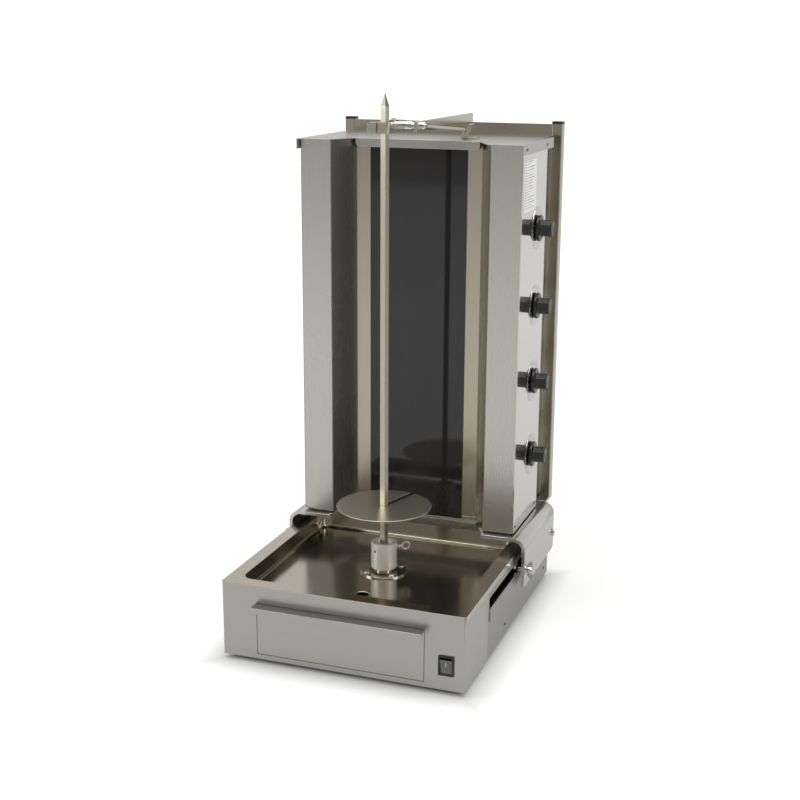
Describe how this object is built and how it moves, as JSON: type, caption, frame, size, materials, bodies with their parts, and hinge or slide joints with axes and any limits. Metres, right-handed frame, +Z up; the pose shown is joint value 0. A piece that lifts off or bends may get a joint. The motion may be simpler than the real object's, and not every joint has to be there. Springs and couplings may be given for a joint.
{
  "type": "vertical rotisserie broiler",
  "caption": "Countertop electric vertical rotisserie broiler: drip-tray base with grease drawer, motor-driven spit and sliding heater tower.",
  "frame": {"origin": "on the floor under the middle of the whole machine", "axes": "+X to the operator's right, -Y to the front, +Z up"},
  "size_m": [0.4834, 0.5976, 0.936],
  "materials": {
    "stainless": "fine brushed stainless sheet, warm grey",
    "polished_steel": "polished stainless, reflects dark",
    "spit_steel": "drawn stainless bar",
    "bright_fastener": "bright plated steel",
    "cast_cup": "machined light alloy, satin",
    "black_plastic": "moulded black plastic, satin",
    "rubber_foot": "black rubber",
    "ceramic_glass": "near-black glossy glass ceramic",
    "printed_plate": "printed film, light grey",
    "element_sheath": "oxidised heating element sheath",
    "insulation": "white ceramic fibre board",
    "motor_case": "grey painted geared motor",
    "regulator_case": "pale heat-resistant plastic"
  },
  "bodies": {
    "base": {"base_floor": "stainless", "feet": "rubber_foot", "front_panel": "stainless", "side_panel_left": "stainless", "side_panel_right": "stainless", "rear_panel": "stainless", "cable_gland": "black_plastic", "drip_tray": "polished_steel", "bearing_flange": "polished_steel", "flange_screws": "bright_fastener", "gearbox": "motor_case", "motor": "motor_case", "switch_bezel": "black_plastic", "drawer_runners": "stainless"},
    "rocker": {"switch_rocker": "black_plastic"},
    "drawer": {"drawer_front": "stainless", "drawer_pan": "stainless"},
    "clamp_nut_left": {"clamp_nut_left": "bright_fastener"},
    "clamp_nut_right": {"clamp_nut_right": "bright_fastener"},
    "cup": {"spit_cup": "cast_cup"},
    "thumb": {"thumb_screw": "bright_fastener"},
    "spit": {"spit_bar": "spit_steel", "disc_pin": "spit_steel"},
    "disc": {"spit_disc": "polished_steel"},
    "latch": {"holder_latch": "spit_steel"},
    "knob_1": {"knob_1": "black_plastic"},
    "knob_2": {"knob_2": "black_plastic"},
    "knob_3": {"knob_3": "black_plastic"},
    "knob_4": {"knob_4": "black_plastic"},
    "tower": {"arm_strut": "spit_steel", "carriage_bolts": "bright_fastener", "carriage_plate": "stainless", "cheek_left": "stainless", "cheek_right": "stainless", "clamp_washers": "bright_fastener", "control_panel": "stainless", "dial_plates": "printed_plate", "energy_regulators": "regulator_case", "glass_panel": "ceramic_glass", "glass_rails": "stainless", "heating_elements": "element_sheath", "holder_bolt": "bright_fastener", "insulation_board": "insulation", "latch_pin": "bright_fastener", "left_cover": "stainless", "post_caps": "black_plastic", "rating_plate": "printed_plate", "rear_cover": "stainless", "rear_posts": "stainless", "rear_walls": "stainless", "reflector": "polished_steel", "spit_holder": "spit_steel", "strut_bracket": "spit_steel", "support_arm": "spit_steel", "top_cover": "stainless", "tower_floor": "stainless", "wing_left": "stainless", "wing_right": "stainless"}
  },
  "joints": [
    {"name": "drawer_slide", "type": "slide", "parent": "base", "child": "drawer", "axis": [0, -1, 0], "range_m": [0, 0.12]},
    {"name": "rocker_tilt", "type": "hinge", "parent": "base", "child": "rocker", "pos_m": [0.183, -0.27185, 0.052], "axis": [-1, 0, 0], "range_deg": [0, 16]},
    {"name": "tower_slide", "type": "slide", "parent": "base", "child": "tower", "axis": [0, -1, 0], "range_m": [0, 0.05]},
    {"name": "cup_spin", "type": "hinge", "parent": "base", "child": "cup", "pos_m": [0, -0.07285, 0.1191], "axis": [0, 0, 1], "continuous": true},
    {"name": "thumb_turn", "type": "hinge", "parent": "cup", "child": "thumb", "pos_m": [0, -0.07285, 0.1561], "axis": [0.866, 0.5, 0], "continuous": true},
    {"name": "spit_lift", "type": "slide", "parent": "cup", "child": "spit", "axis": [0, 0, 1], "range_m": [0, 0.04]},
    {"name": "disc_lift", "type": "slide", "parent": "spit", "child": "disc", "axis": [0, 0, 1], "range_m": [0, 0.5]},
    {"name": "latch_swing", "type": "hinge", "parent": "tower", "child": "latch", "pos_m": [-0.01295, 0.0039, 0.88095], "axis": [0, 0, -1], "range_deg": [0, 95]},
    {"name": "clamp_nut_left_turn", "type": "hinge", "parent": "tower", "child": "clamp_nut_left", "pos_m": [-0.2305, 0.04015, 0.103], "axis": [1, 0, 0], "continuous": true},
    {"name": "clamp_nut_right_turn", "type": "hinge", "parent": "tower", "child": "clamp_nut_right", "pos_m": [0.2305, 0.04015, 0.103], "axis": [1, 0, 0], "continuous": true},
    {"name": "knob_1_turn", "type": "hinge", "parent": "tower", "child": "knob_1", "pos_m": [0.2038, 0.15515, 0.28425], "axis": [1, 0, 0], "range_deg": [0, 270]},
    {"name": "knob_2_turn", "type": "hinge", "parent": "tower", "child": "knob_2", "pos_m": [0.2038, 0.15515, 0.42275], "axis": [1, 0, 0], "range_deg": [0, 270]},
    {"name": "knob_3_turn", "type": "hinge", "parent": "tower", "child": "knob_3", "pos_m": [0.2038, 0.15515, 0.56125], "axis": [1, 0, 0], "range_deg": [0, 270]},
    {"name": "knob_4_turn", "type": "hinge", "parent": "tower", "child": "knob_4", "pos_m": [0.2038, 0.15515, 0.69975], "axis": [1, 0, 0], "range_deg": [0, 270]}
  ]
}
